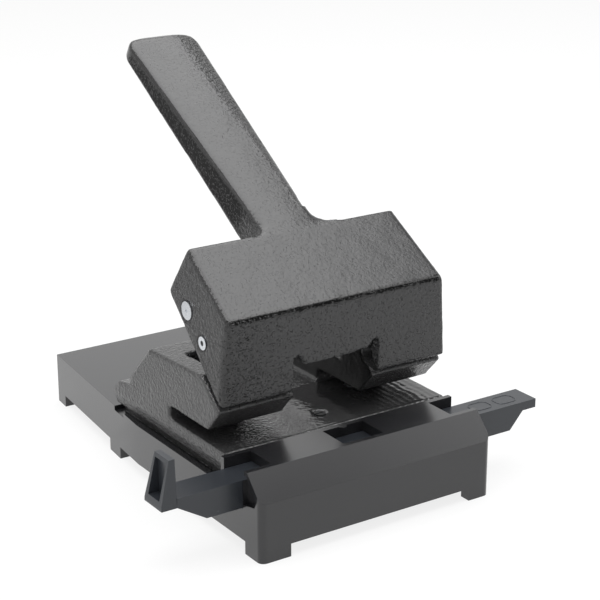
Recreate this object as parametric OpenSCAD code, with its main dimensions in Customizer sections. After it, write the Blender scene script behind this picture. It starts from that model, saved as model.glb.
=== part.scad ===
/* [Base tray] */
// Length of the tray, front wall to back wall
base_l = 226.8; // [200:0.2:260]
// Width of the tray at the front
base_w = 132.6; // [129.8:0.2:138]
// Width of the tray at the back edge
base_back_w = 110.8; // [100:0.2:126]
// Length of the narrowing back part
base_taper_l = 112; // [90:1:140]
// Height of the feet under the walls
foot_h = 6.4; // [5:0.1:9]
// Height of the walls above the feet
tray_h = 20.9; // [19:0.1:24]
// Wall thickness of the tray
wall_t = 2.5; // [2:0.1:3]
// Thickness of the tray's top plate
deck_t = 2.5; // [2:0.1:3]
// Depth of the recess that the casting sits in
recess_d = 2.3; // [1.5:0.1:3]
// Width of the lip beside the recess
lip_w = 1.7; // [1:0.1:2]
// Length of a foot along the side wall
foot_l = 13.6; // [11:0.1:18]
// Length of the left front foot along the front wall
foot_w = 16.2; // [11:0.1:20]
// Length of the right front foot along the front wall
foot_right_w = 12.8; // [10:0.1:20]
// Thickness of a foot's legs
foot_t = 6; // [4:0.1:8]

/* [Front block] */
// Length of the raised front block
block_l = 34; // [33:0.2:38]
// Height of the block above the tray's top
block_h = 13.9; // [13.6:0.1:17]
// Height that the sloping front panel spans
panel_h = 12; // [10:0.1:13]
// Depth that the sloping front panel spans
panel_l = 11.4; // [10:0.1:12]
// Width of the middle window
window_w = 23; // [16:0.5:30]
// Length of the open pocket at each end of the block
pocket_w = 14.6; // [10:0.2:18]
// Front to back size of the window and the pockets
window_l = 17.3; // [16.6:0.1:18]
// Deck left behind the windows
window_back = 2.7; // [2:0.1:3]
// Overhang of the panel's ends over the block's end walls
end_inset = 2.4; // [1:0.1:2.4]
// Thickness of the panel where it overhangs
end_skin = 2; // [1.5:0.1:3]

/* [Paper gauge] */
// Length of the gauge over its end stop
gauge_l = 216; // [190:1:230]
// Width of the gauge
gauge_w = 15.5; // [13:0.1:16]
// Thickness of the gauge's top plate
gauge_plate_t = 4.6; // [3:0.1:5]
// Depth of the two webs under the plate
web_h = 9; // [7:0.1:9.4]
// Thickness of each web
web_t = 3; // [2:0.1:4]
// Height of the end stop above the plate
stop_h = 18.5; // [12:0.5:24]
// Thickness of the end stop at its foot
stop_t = 8; // [5:0.1:9]
// Thickness of the end stop at its top
stop_top_t = 3; // [2:0.1:4]
// Thickness of the end stop's rims
stop_rim = 2; // [1.4:0.1:3]

/* [Frame] */
// Width of the frame
frame_w = 128.4; // [126:0.2:128.6]
// Thickness of the bed, from its seat to its top
bed_t = 16.3; // [15:0.1:19]
// Height of the paper throat
throat_h = 6.4; // [5:0.1:8]
// Height of the arms above the throat
arm_h = 25; // [23:0.1:28]
// Gap between the two arms
arm_gap = 45; // [42:0.5:47]
// Front of the arms in front of the punches
nose_l = 34.9; // [32:0.1:38]
// Height of the nose's edge above the throat
nose_rise = 12.3; // [10:0.1:15]
// Setback of the nose's underside
nose_under = 11.1; // [9:0.1:13]
// Setback of the nose's top
nose_top = 16.5; // [14:0.1:19]
// Length of the frame behind the punches
heel_l = 70.3; // [65:0.1:76]
// Length of the arms behind the punches, at their top
arm_back_l = 30.7; // [28:0.1:34]
// Length of the arms behind the punches, at their foot
arm_root_l = 52; // [46:0.5:56]
// Thickness of the pivot lugs
lug_t = 9; // [7:0.1:10]
// Radius of the pivot lugs
lug_r = 8; // [7:0.1:9]

/* [Punches and dies] */
// Distance between the two holes
hole_pitch = 80; // [78:0.5:82]
// Diameter of the punches
punch_d = 6; // [5:0.1:6.4]
// Hole centre to the paper's edge
paper_edge = 12; // [10:0.1:13]
// Diameter of the dies
die_d = 16; // [14:0.1:18]
// Height of the dies
die_h = 8; // [6:0.1:9]
// Outer diameter of the guide bushes
guide_d = 12; // [11:0.1:13]
// Length of the guide bushes
guide_l = 12.3; // [10:0.1:14]
// Diameter of the spring collars
collar_d = 14; // [13:0.1:15]
// Thickness of the spring collars
collar_t = 3; // [2:0.1:4]
// Diameter of the cross pins that hold the collars
cross_pin_d = 2.5; // [2:0.1:3]

/* [Springs] */
// Wire diameter of the return springs
wire_d = 1.6; // [1.2:0.1:1.8]
// Outer diameter of the return springs
spring_d = 12.4; // [11:0.1:13]
// Turns of each return spring
spring_turns = 6; // [4:1:8]

/* [Lever] */
// Swing of the lever in degrees
swing = 33; // [28:1:34]
// Pivot to pusher shaft
crank_r = 19.1; // [17:0.1:21]
// Angle of the pusher shaft above the pivot at rest
crank_a = 35.9; // [30:0.1:40]
// Height of the pivot above the arms
pivot_rise = 15.8; // [14:0.1:18]
// Width of the head at its ridge
head_w = 121; // [117:0.5:122]
// Outward draft of each cheek, as run per height
cheek_draft = 0.0865; // [0.05:0.0005:0.1]
// Front of the head in front of the pivot
head_front = 21.1; // [19:0.1:23]
// Height of the ridge above the pivot
ridge_rise = 15.5; // [14:0.1:18]
// Height of the head's front face
face_h = 42.6; // [40:0.1:43]
// Lean of the front face
face_lean = 1.9; // [0:0.1:3]
// Length of the head's sloping top
top_l = 46.4; // [42:0.1:48]
// Slope of the head's top in degrees
top_slope = 32.7; // [30:0.1:34]
// Length of the head's back wall
back_l = 29.1; // [27:0.1:31]
// Lean of the back wall from square, in degrees
back_lean = -1.4; // [-4:0.1:6]
// Wall thickness of the head
head_wall = 6; // [5:0.1:7]
// Width of the opening in the front face
cut_w = 49.2; // [46:0.1:54]
// Height of the opening in the front face
cut_h = 13.6; // [11:0.1:16]
// Extra height of the two relief notches
notch_h = 5.6; // [4:0.1:8]
// Width of the relief notches
notch_w = 4.4; // [3:0.1:6]
// Length of the handle beyond the head
handle_l = 146.5; // [120:0.5:170]
// Width of the handle at its root
handle_root_w = 33; // [30:0.5:38]
// Width of the handle at its tip
handle_tip_w = 40.6; // [36:0.2:44]
// Thickness of the handle at its root
handle_root_t = 19.5; // [17:0.1:22]
// Thickness of the handle at its tip
handle_tip_t = 9.6; // [9:0.1:12]
// Drop of the handle's top towards its tip
handle_drop = 5; // [0:0.1:8]
// Rounding of the handle's edges
handle_r = 4; // [3:0.1:4.4]
// Corner radius of the handle's tip
tip_r = 8; // [5:0.5:12]
// Root fillet on the left side
fillet_left = 5; // [3:0.5:8]
// Root fillet on the right side
fillet_right = 12.5; // [10:0.5:18]

/* [Pins and screws] */
// Diameter of the pusher shaft
shaft_d = 9; // [8:0.1:10]
// Diameter of the pivot pin
pin_d = 6.5; // [6:0.1:7]
// Wall of the pivot bushes
bush_t = 1.75; // [1:0.05:2]
// How far the pin ends stand proud of the cheeks
pin_proud = 0.4; // [0.2:0.1:1]
// Diameter of the clips on the pusher shaft
clip_d = 15; // [13:0.5:16]
// Thickness of the clips
clip_t = 1; // [0.8:0.1:1.5]
// Diameter of the base screws
screw_d = 5; // [4:0.1:6]
// Head diameter of the base screws
screw_head_d = 9; // [8:0.1:10]
// Head height of the base screws
screw_head_h = 3; // [2:0.1:3.4]
// Diameter of the screw at the front of the bed
front_screw_d = 3; // [2.5:0.1:4]
// Head diameter of the screw at the front of the bed
front_head_d = 5.6; // [5:0.1:7]
// Head height of the screw at the front of the bed
front_head_h = 1.6; // [1.2:0.1:2.4]
// Thickness of the washers
washer_t = 1; // [0.8:0.1:1.4]
// Diameter of the washers
washer_d = 11; // [10:0.1:12]

/* [Chip cover] */
// Thickness of the sliding cover
cover_t = 2; // [1.6:0.1:2.4]
// Thickness of the rails under the cover
rail_t = 1.2; // [1:0.1:1.6]
// Width of the rails under the cover
rail_w = 2; // [1.5:0.1:3]
// Height of the cover's finger grip
grip_h = 4; // [3:0.1:4.6]

/* [Hidden] */
$fn = 64;

// Clearances and overruns
cut = 1;
slip = 0.3;
press_gap = 0.02;
run_gap = 0.05;
touch_gap = 0.15;
bed_gap = 0.6;

// Heights, from the feet up
deck_z = foot_h + tray_h;
seat_z = deck_z - recess_d;
plate_z = seat_z - deck_t;
bed_z = seat_z + bed_t;
arm_z = bed_z + throat_h;
arm_top = arm_z + arm_h;
block_z = deck_z + block_h;
slab_lift = 4.5;
slab_z = seat_z + slab_lift;

// Places from front to back
front_y = -base_l / 2;
back_y = base_l / 2;
bend_y = back_y - base_taper_l;
block_back = front_y + block_l;
bed_front = block_back + bed_gap;
bed_to_punch = 38.6;
punch_y = bed_front + bed_to_punch;
throat_back = punch_y + paper_edge;
heel_y = punch_y + heel_l;
arm_back_y = punch_y + arm_back_l;
arm_root_y = punch_y + arm_root_l;
arm_in = arm_gap / 2;
side_x = frame_w / 2;

// Lever mechanism
mean_reach = crank_r * (cos(crank_a) + cos(crank_a - swing)) / 2;
pivot = [punch_y - mean_reach, arm_top + pivot_rise];
shaft = pivot + crank_r * [cos(crank_a), sin(crank_a)];
stroke = crank_r * (sin(crank_a) - sin(crank_a - swing));
along = [cos(top_slope), sin(top_slope)];
head_b = pivot + [-head_front, ridge_rise];
head_a = head_b + top_l * along;
head_c = head_b + [face_lean, -face_h];
head_d = head_a + back_l * [cos(top_slope - 90 + back_lean), sin(top_slope - 90 + back_lean)];
// Back of the pivot lugs, behind which the arms are low on the inside
lug_back_y = pivot[0] + lug_r + 2;

// Gauge and its tunnel
window_front = block_back - window_back - window_l;
window_rear = block_back - window_back;
gauge_rear = window_rear - slip;
gauge_front = gauge_rear - gauge_w;
gauge_top_drop = 5.2;
gauge_z = block_z - gauge_top_drop;
web_z = gauge_z - gauge_plate_t - web_h;
tunnel_z = web_z - slip;
tunnel_floor_t = 2;
stop_drop = 4.6;
ramp_l = 15;
ramp_right_l = 8;
web_right_inset = 16.3;
leaf_t = 0.6;
leaf_w = 6;
leaf_reach = 20;
leaf_foot = 4;

// Punches
tip_lift = 0.5;
punch_z = arm_z + tip_lift;
punch_top = shaft[1] - shaft_d / 2 - touch_gap;
pocket_z = arm_z + guide_l;
head_over_collar = 7;
collar_z = punch_top - head_over_collar - collar_t;
pocket_front = 13.8;
pocket_back = 14.2;
pocket_outer = 13.6;
die_land = 3;
die_relief = 1;
chip_hole_d = 11;
chamfer = 0.4;

// Screws
washer_to_rib = 3.31;
screw_front_y = bed_front + 12.8;
screw_back_y = heel_y - 12;
screw_y = [screw_front_y, screw_back_y];
boss_r = 6;
boss_z = plate_z - 7.5;
screw_depth = 11;
front_screw_y = bed_front + 15.8;
front_screw_l = 19;

// Chip cover
cover_z = foot_h + rail_t + slip;
cover_half = base_back_w / 2 - wall_t - 1.3 * slip;
rib_x = cover_half + slip;
screw_x = rib_x - washer_d / 2 - washer_to_rib;
cover_front = block_back + wall_t + slip;
grip_t = 3;

module yz(x0, x1)
    translate([x0, 0, 0]) rotate([90, 0, 90]) linear_extrude(x1 - x0) children();

module xz(y0, y1)
    translate([0, y1, 0]) rotate([90, 0, 0]) linear_extrude(y1 - y0) children();

module both_sides() {
    children();
    mirror([1, 0, 0]) children();
}

// A box from its low corner to its high corner
module block(low, high) translate(low) cube(high - low);

// A round bar along X at a point of the side view
module bar_x(at, r, x0, x1) translate([x0, at[0], at[1]]) rotate([0, 90, 0]) cylinder(h = x1 - x0, r = r);

module post(x, y, z0, z1, r) translate([x, y, z0]) cylinder(h = z1 - z0, r = r);

// Half width of the tray at a place along its length
function tray_half(y) = y <= bend_y ? base_w / 2
    : base_w / 2 - (y - bend_y) / base_taper_l * (base_w - base_back_w) / 2;

module tray_plan(inset) {
    f = base_w / 2 - inset;
    b = base_back_w / 2 - inset;
    polygon([[-f, front_y + inset], [f, front_y + inset], [f, bend_y], [b, back_y - inset],
             [-b, back_y - inset], [-f, bend_y]]);
}

module tray_shell() {
    difference() {
        linear_extrude(deck_z) tray_plan(0);
        translate([0, 0, -cut]) linear_extrude(plate_z + cut) tray_plan(wall_t);
        foot_gaps();
    }
}

// The spaces between the feet, cut out of the walls
mid_foot_y = bend_y + 23.2;
rear_foot_l = 10.5;
rear_foot_w = 6.4;
module foot_gaps() {
    block([-base_w, front_y + foot_l, -cut], [base_w, mid_foot_y, foot_h]);
    block([-base_w, mid_foot_y + foot_l, -cut], [base_w, back_y - rear_foot_l, foot_h]);
    rear_x = base_back_w / 2 - rear_foot_w;
    block([foot_w - base_w / 2, front_y - cut, -cut],
          [base_w / 2 - foot_right_w, front_y + foot_l + cut, foot_h]);
    block([-rear_x, back_y - rear_foot_l - cut, -cut], [rear_x, back_y + cut, foot_h]);
}

// Raised front block in side view
module block_outline()
    polygon([[front_y, foot_h], [front_y, block_z - panel_h], [front_y + panel_l, block_z],
             [block_back, block_z], [block_back, foot_h]]);

// Hollow between the front wall and the tunnel
module block_hollow() {
    y0 = front_y + wall_t;
    y1 = window_front - wall_t;
    polygon([[y0, foot_h - cut], [y0, block_z - panel_h - wall_t / 2],
             [y1, block_z - panel_h - wall_t / 2 + (y1 - y0) * panel_h / panel_l], [y1, foot_h - cut]]);
}

// Recess of the end walls under the panel's overhang
module end_recess() {
    slant = norm([panel_l, panel_h]);
    low = [front_y + end_skin * panel_h / slant, block_z - panel_h - end_skin * panel_l / slant];
    top_z = block_z - end_skin;
    top_y = low[0] + (top_z - low[1]) * panel_l / panel_h;
    floor_z = tunnel_z + end_skin;
    yz(base_w / 2 - end_inset, base_w / 2 + cut)
        polygon([[window_front + cut, floor_z], [low[0] + 2 * end_skin, floor_z + end_skin],
                 [low[0] + end_skin, low[1] + end_skin * panel_h / panel_l], [top_y, top_z],
                 [window_front + cut, top_z]]);
}

module window_cut(x0, x1) block([x0, window_front, gauge_z], [x1, window_rear, block_z + cut]);

// Inner thickness of the feet behind the walls
module tray_feet() {
    reach = 1.1;
    skin = wall_t / 2;
    x = base_w / 2;
    mid_x = tray_half(mid_foot_y + foot_l);
    rear_x = base_back_w / 2;
    both_sides() {
        block([x - foot_t, front_y + skin, 0], [x - skin, front_y + foot_l, foot_h + reach]);
        block([mid_x - foot_t, mid_foot_y, 0], [mid_x - skin, mid_foot_y + foot_l, foot_h + reach]);
        block([rear_x - rear_foot_w, back_y - rear_foot_l, 0],
              [rear_x - skin, back_y - skin, foot_h + reach]);
    }
    block([skin - x, front_y + skin, 0], [foot_w - x, front_y + foot_t, foot_h + reach]);
    block([x - foot_right_w, front_y + skin, 0], [x - skin, front_y + foot_t, foot_h + reach]);
}

// Rails that carry the sliding cover
module tray_rails() {
    rib_t = 2;
    both_sides() {
        block([rib_x, block_back - wall_t / 2, foot_h],
              [rib_x + rib_t, back_y - wall_t / 2, plate_z + wall_t / 2]);
        block([rib_x - rail_w, cover_front, foot_h], [rib_x + rib_t, back_y, foot_h + rail_t]);
    }
}

module tray_bosses() {
    both_sides() for (y = screw_y) post(screw_x, y, boss_z, seat_z - deck_t / 2, boss_r);
    post(0, front_screw_y, boss_z, seat_z - deck_t / 2, boss_r / 2 + front_screw_d / 2);
}

module base_tray() color("#2b2c2e") {
    pointer_w = 5;
    pointer_l = 2;
    side_slot_w = 2;
    side_slot_h = 3;
    recess_x = base_w / 2 - lip_w;
    recess_back = heel_y + slip;
    difference() {
        union() {
            difference() {
                union() {
                    tray_shell();
                    yz(-base_w / 2, base_w / 2) block_outline();
                    tray_bosses();
                }
                yz(-base_w / 2 + wall_t + end_inset, base_w / 2 - wall_t - end_inset) block_hollow();
                block([-base_w / 2 + wall_t, window_front - wall_t - cut, foot_h - cut],
                      [base_w / 2 - wall_t, window_rear, tunnel_z - tunnel_floor_t]);
                block([-base_w / 2 + wall_t, window_front - wall_t - cut, foot_h - cut],
                      [base_w / 2 - wall_t, block_back + wall_t, boss_z]);
            }
            tray_rails();
            tray_feet();
        }
        block([-recess_x, block_back, seat_z], [recess_x, recess_back, deck_z + cut]);
        block([-base_w / 2 - cut, gauge_front - slip, tunnel_z],
              [base_w / 2 + cut, gauge_rear + slip, gauge_z + slip]);
        window_cut(-window_w / 2, window_w / 2);
        both_sides() {
            end_recess();
            window_cut(base_w / 2 - pocket_w, base_w / 2 + cut);
            block([base_w / 2 - wall_t - cut, gauge_front + gauge_w / 3, tunnel_z - side_slot_h],
                  [base_w / 2 + cut, gauge_front + gauge_w / 3 + side_slot_w, tunnel_z + cut]);
            for (y = screw_y) post(screw_x, y, boss_z - cut, seat_z + cut, screw_d / 2 + run_gap);
            post(hole_pitch / 2, punch_y, plate_z - cut, seat_z + cut, chip_hole_d / 2);
        }
        post(0, front_screw_y, boss_z - cut, seat_z + cut, front_screw_d / 2 + run_gap);
        block([-rib_x, back_y - wall_t - cut, foot_h + rail_t],
              [rib_x, back_y + cut, cover_z + cover_t + slip]);
        block([-rib_x + rail_w, back_y - wall_t - cut, foot_h - cut],
              [rib_x - rail_w, back_y + cut, foot_h + rail_t + cut]);
    }
    window_pointer(pointer_w, pointer_l);
}

// Pointer at the middle window's rear edge
module window_pointer(w, l) {
    pointer_t = 2;
    translate([0, 0, block_z - pointer_t]) linear_extrude(pointer_t)
        polygon([[-w / 2, window_rear + l / 2], [w / 2, window_rear + l / 2], [w / 2, window_rear],
                 [w / 6, window_rear - l], [-w / 6, window_rear - l], [-w / 2, window_rear]]);
}

// The cover's grip hangs below it behind the last rail
module chip_cover() color("#35363a") {
    block([-cover_half, cover_front + slip, cover_z], [cover_half, back_y, cover_z + cover_t]);
    grip_x = rib_x - rail_w - slip;
    block([-grip_x / 2, back_y - grip_t, cover_z - grip_h + cover_t / 2],
          [grip_x / 2, back_y, cover_z + cover_t / 2]);
}

module gauge_stop() {
    x0 = -gauge_l / 2;
    z0 = gauge_z - stop_drop;
    z1 = gauge_z + stop_h;
    inner = x0 + stop_t;
    side = (gauge_w - 2 * stop_rim);
    taper = 1.5;
    difference() {
        intersection() {
            xz(gauge_front, gauge_rear)
                polygon([[x0, z0], [inner, z0], [inner, z1], [inner - stop_top_t, z1], [x0, z0 + stop_rim]]);
            yz(x0 - cut, inner + cut)
                polygon([[gauge_front, z0], [gauge_rear, z0],
                         [gauge_rear - taper, z1], [gauge_front + taper, z1]]);
        }
        xz(gauge_front + stop_rim + taper / 2, gauge_rear - stop_rim - taper / 2)
            polygon([[x0 - cut, z0 + 2 * stop_rim], [inner - stop_rim, z0 + 2 * stop_rim],
                     [inner - stop_rim, z1 - stop_rim], [x0 - cut, z1 - stop_rim]]);
    }
}

module gauge_bar() color("#2c3138") {
    x0 = -gauge_l / 2 + stop_t - press_gap;
    x1 = gauge_l / 2;
    plate_bottom = gauge_z - gauge_plate_t;
    gauge_stop();
    block([x0, gauge_front, plate_bottom], [x1, gauge_rear, gauge_z]);
    web_x1 = x1 - web_right_inset + ramp_right_l;
    for (y = [gauge_front, gauge_rear - web_t])
        xz(y, y + web_t)
            polygon([[x0, plate_bottom + press_gap], [x0 + ramp_l, web_z], [web_x1 - ramp_right_l, web_z],
                     [web_x1, plate_bottom + press_gap]]);
}

module gauge_spring() color("#b9bcc0") {
    reach = leaf_reach;
    foot = leaf_foot;
    rise = gauge_z - gauge_plate_t - slip - tunnel_z - leaf_t;
    steps = 16;
    y0 = (gauge_front + gauge_rear - leaf_w) / 2;
    top = [for (i = [0 : steps]) let(a = 180 * i / steps)
        [-reach + 2 * reach * i / steps, tunnel_z + leaf_t + rise * pow(sin(a), 2)]];
    under = [for (i = [steps : -1 : 0]) top[i] - [0, leaf_t]];
    xz(y0, y0 + leaf_w) polygon(concat([[-reach - foot, tunnel_z + leaf_t]], top,
        [[reach + foot, tunnel_z + leaf_t], [reach + foot, tunnel_z]], under, [[-reach - foot, tunnel_z]]));
}

// Side view of an arm, from its nose to the heel of the frame
module arm_outline() {
    nose_y = punch_y - nose_l;
    top_fall = 1.6;
    top_rise = 0.7;
    foot_rise = 1.2;
    polygon([[nose_y + nose_under, arm_z], [throat_back, arm_z], [throat_back, bed_z - cut],
             [arm_root_y, bed_z - cut], [arm_root_y, arm_z + foot_rise], [arm_back_y, arm_top - top_fall],
             [nose_y + nose_top, arm_top + top_rise], [nose_y, arm_z + nose_rise]]);
}

module bed_outline() {
    heel_corner = 5.8;
    heel_h = 4;
    polygon([[bed_front, slab_z], [heel_y, slab_z], [heel_y, bed_z - heel_h],
             [heel_y - heel_corner, bed_z + heel_h / 2], [arm_root_y, bed_z + heel_h],
             [throat_back, bed_z + heel_h], [throat_back, bed_z], [bed_front, bed_z]]);
}

module pivot_lug() {
    stem_drop = pivot_rise + 8;
    yz(arm_in, arm_in + lug_t)
        polygon([[pivot[0] - lug_r, pivot[1]], [pivot[0] - lug_r, pivot[1] - pivot_rise - lug_r / 2],
                 [lug_back_y, pivot[1] - stem_drop], [pivot[0] + lug_r, pivot[1]]]);
    bar_x(pivot, lug_r, arm_in, arm_in + lug_t);
}

module frame() color("#3a3a3b") {
    skirt_in = 3.2;
    pocket_x0 = arm_in + lug_t;
    bush_r = pin_d / 2 + run_gap + bush_t + press_gap;
    difference() {
        union() {
            yz(-side_x, side_x) bed_outline();
            block([-side_x + skirt_in, bed_front + skirt_in, seat_z],
                  [side_x - skirt_in, heel_y - skirt_in, slab_z + cut]);
            both_sides() yz(arm_in, side_x) arm_outline();
            both_sides() pivot_lug();
        }
        both_sides() {
            block([pocket_x0, punch_y - pocket_front, pocket_z],
                  [hole_pitch / 2 + pocket_outer, punch_y + pocket_back, arm_top + lug_r]);
            block([arm_in - cut, lug_back_y, pocket_z], [pocket_x0 + cut, arm_root_y, arm_top + lug_r]);
            block([-cut, throat_back - cut, bed_z], [arm_in, heel_y + cut, arm_z]);
            bar_x(pivot, bush_r, arm_in - cut, arm_in + lug_t + cut);
            post(hole_pitch / 2, punch_y, arm_z - cut, pocket_z + cut, guide_d / 2 + press_gap);
            post(hole_pitch / 2, punch_y, bed_z - die_h, bed_z + cut, die_d / 2 + press_gap);
            post(hole_pitch / 2, punch_y, seat_z - cut, bed_z, chip_hole_d / 2);
            for (y = screw_y)
                post(screw_x, y, seat_z - cut, seat_z + screw_depth + cut, screw_d / 2 + press_gap);
        }
        post(0, front_screw_y, seat_z - cut, bed_z + cut, front_screw_d / 2 + slip);
        post(0, front_screw_y, bed_z - front_head_h, bed_z + cut, front_head_d / 2 + slip / 2);
    }
}

module die(x) color("#8d9094") {
    difference() {
        post(x, punch_y, bed_z - die_h, bed_z, die_d / 2);
        post(x, punch_y, bed_z - die_h - cut, bed_z + cut, punch_d / 2 + 2 * run_gap);
        post(x, punch_y, bed_z - die_h - cut, bed_z - die_land, punch_d / 2 + die_relief);
    }
}

module guide_bush(x) color("#8d9094") {
    difference() {
        post(x, punch_y, arm_z, pocket_z, guide_d / 2);
        post(x, punch_y, arm_z - cut, pocket_z + cut, punch_d / 2 + run_gap);
    }
}

module pivot_bush(x) color("#b08a4a") {
    difference() {
        bar_x(pivot, pin_d / 2 + run_gap + bush_t, x, x + lug_t);
        bar_x(pivot, pin_d / 2 + run_gap, x - cut, x + lug_t + cut);
    }
}

module base_screws() color("#a9acb0") {
    both_sides() for (y = screw_y) {
        post(screw_x, y, boss_z - washer_t, seat_z + screw_depth, screw_d / 2);
        difference() {
            post(screw_x, y, boss_z - washer_t - screw_head_h, boss_z - washer_t, screw_head_d / 2);
            translate([screw_x, y, boss_z - washer_t - screw_head_h - cut])
                cylinder(h = screw_head_h / 2 + cut, r = screw_d / 3, $fn = 6);
        }
    }
}

module base_washers() color("#a9acb0") {
    both_sides() for (y = screw_y) difference() {
        post(screw_x, y, boss_z - washer_t, boss_z, washer_d / 2);
        post(screw_x, y, boss_z - washer_t - cut, boss_z + cut, screw_d / 2 + run_gap);
    }
}

module front_screw() color("#4a4a4c") {
    slot_w = 0.9;
    slot_d = 0.8;
    difference() {
        union() {
            post(0, front_screw_y, bed_z - front_head_h, bed_z, front_head_d / 2);
            post(0, front_screw_y, bed_z - front_screw_l, bed_z, front_screw_d / 2);
        }
        block([-front_head_d, front_screw_y - slot_w / 2, bed_z - slot_d],
              [front_head_d, front_screw_y + slot_w / 2, bed_z + cut]);
    }
}

function left_of(v) = [-v[1], v[0]] / norm(v);

// Where the line through p along d meets the line through q along e
function meet(p, d, q, e) =
    p + d * ((q[0] - p[0]) * e[1] - (q[1] - p[1]) * e[0]) / (d[0] * e[1] - d[1] * e[0]);

module head_outline() polygon([head_a, head_b, head_c, head_d]);

module head_hollow() {
    ab = head_b - head_a;
    bc = head_c - head_b;
    da = head_a - head_d;
    t = head_wall;
    in_b = meet(head_b + left_of(ab) * t, ab, head_b + left_of(bc) * t, bc);
    in_a = meet(head_a + left_of(da) * t, da, head_a + left_of(ab) * t, ab);
    polygon([in_a, in_b, in_b + bc * 1.2, in_a - da * 1.6]);
}

// Cheeks lean outwards towards the bottom
module cheeks(inset) {
    low = head_c[1] - face_h;
    high = head_a[1] + face_h;
    function half(z) = head_w / 2 - inset + (head_b[1] - z) * cheek_draft;
    xz(head_b[0] - face_h, head_d[0] + face_h)
        polygon([[-half(low), low], [half(low), low], [half(high), high], [-half(high), high]]);
}

// Bars in the head's own slope: Y runs up the handle, Z out of its top
module on_slope() translate([0, head_a[0], head_a[1]]) rotate([top_slope, 0, 0]) children();

module handle() {
    r = handle_r;
    root_y = -head_wall + r / 2;
    tip_y = handle_l - r;
    corner_y = handle_l - tip_r;
    root_x = handle_root_w / 2 - r;
    tip_x = handle_tip_w / 2 - r;
    corner_x = handle_tip_w / 2 - tip_r;
    low_tip = -handle_drop - handle_tip_t + r;
    on_slope() hull() for (s = [-1, 1]) {
        for (z = [-r, -handle_root_t + r])
            translate([s * root_x, root_y, z]) rotate([-90, 0, 0]) cylinder(h = r / 2, r = r, $fn = 24);
        for (z = [-handle_drop - r, low_tip]) {
            translate([s * tip_x, corner_y, z]) sphere(r = r, $fn = 24);
            translate([s * corner_x, tip_y, z]) sphere(r = r, $fn = 24);
        }
    }
}

// Concave blend between the handle's side and the head's back
module root_fillet(side, r) {
    half = handle_root_w / 2;
    blend_t = handle_root_t - handle_r;
    on_slope() translate([0, 0, -blend_t]) difference() {
        translate([side > 0 ? half - handle_r : -half - r, -head_wall / 2, 0])
            cube([r + handle_r, r + head_wall / 2, blend_t]);
        translate([side * (half + r), r, -cut]) cylinder(h = blend_t + 2 * cut, r = r);
    }
}

module lever() color("#3a3a3b") {
    face_low = head_c[1] + cut_h;
    front_y0 = head_b[0] - cut;
    front_y1 = head_c[0] + head_wall + cut;
    difference() {
        union() {
            intersection() {
                yz(-head_w, head_w) head_outline();
                cheeks(0);
            }
            handle();
            root_fillet(-1, fillet_left);
            root_fillet(1, fillet_right);
        }
        intersection() {
            yz(-head_w, head_w) head_hollow();
            cheeks(head_wall);
        }
        block([-cut_w / 2, front_y0, head_c[1] - cut], [cut_w / 2, front_y1, face_low]);
        both_sides()
            block([cut_w / 2 - notch_w, front_y0, face_low - cut], [cut_w / 2, front_y1, face_low + notch_h]);
        bar_x(shaft, shaft_d / 2 + press_gap, -head_w, head_w);
        bar_x(pivot, pin_d / 2 + press_gap, -head_w, head_w);
    }
}

// Half width of the head at a height
function head_half(z) = head_w / 2 + (head_b[1] - z) * cheek_draft;

module pivot_pin() color("#c8cacc") {
    x = head_half(pivot[1]) + pin_proud;
    hole_r = pin_d / 5;
    dimple = 1.5;
    difference() {
        bar_x(pivot, pin_d / 2, -x, x);
        bar_x(pivot, hole_r, -x - cut, -x + dimple);
        bar_x(pivot, hole_r, x - dimple, x + cut);
    }
}

module pusher_shaft() color("#d2d6da") {
    x = head_half(shaft[1]) + pin_proud;
    both = [-x, x];
    difference() {
        bar_x(shaft, shaft_d / 2, -x, x);
        for (end = both) bar_x(shaft, shaft_d / 12, end - pin_proud, end + pin_proud);
    }
}

module shaft_clips() color("#a9acb0") {
    x = head_half(shaft[1] + clip_d / 2) - head_wall - slip;
    both_sides() difference() {
        bar_x(shaft, clip_d / 2, x - clip_t, x);
        bar_x(shaft, shaft_d / 2 + press_gap, x - clip_t - cut, x + cut);
    }
}

cross_z = collar_z + collar_t + cross_pin_d / 2 + run_gap;

module punch(x) color("#b4b8bc") {
    difference() {
        union() {
            post(x, punch_y, punch_z, punch_top - chamfer, punch_d / 2);
            translate([x, punch_y, punch_top - chamfer])
                cylinder(h = chamfer, r1 = punch_d / 2, r2 = punch_d / 2 - chamfer);
        }
        translate([x, punch_y, cross_z]) rotate([90, 0, 0])
            cylinder(h = punch_d * 2, r = cross_pin_d / 2 + press_gap, center = true);
    }
}

module collar(x) color("#a9acb0") {
    difference() {
        post(x, punch_y, collar_z, collar_z + collar_t, collar_d / 2);
        post(x, punch_y, collar_z - cut, collar_z + collar_t + cut, punch_d / 2 + run_gap);
    }
}

module cross_pin(x) color("#a9acb0") {
    translate([x, punch_y, cross_z]) rotate([90, 0, 0])
        cylinder(h = collar_d - chamfer * 5, r = cross_pin_d / 2, center = true);
}

// One unbroken wire, wound from the pocket's floor to the collar
spring_sides = 6;
spring_rings = 16;
spring_low = pocket_z + wire_d / 2;
spring_high = collar_z - wire_d / 2;
coil_r = (spring_d - wire_d) / 2;
spring_steps = spring_turns * spring_rings;
end_turn = 1;
end_pitch = wire_d + 0.6;
mid_pitch = (spring_high - spring_low - 2 * end_turn * end_pitch) / (spring_turns - 2 * end_turn);

// Height along the coil: close at both ends, even between them
function coil_z(turn) =
    turn < end_turn ? spring_low + turn * end_pitch
    : turn > spring_turns - end_turn ? spring_high - (spring_turns - turn) * end_pitch
    : spring_low + end_turn * end_pitch + (turn - end_turn) * mid_pitch;

function coil_point(i, j) =
    let(turn = i / spring_rings, a = 360 * turn, b = 360 * j / spring_sides, r = coil_r + wire_d / 2 * cos(b))
    [r * cos(a), r * sin(a), coil_z(turn) + wire_d / 2 * sin(b)];

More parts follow.
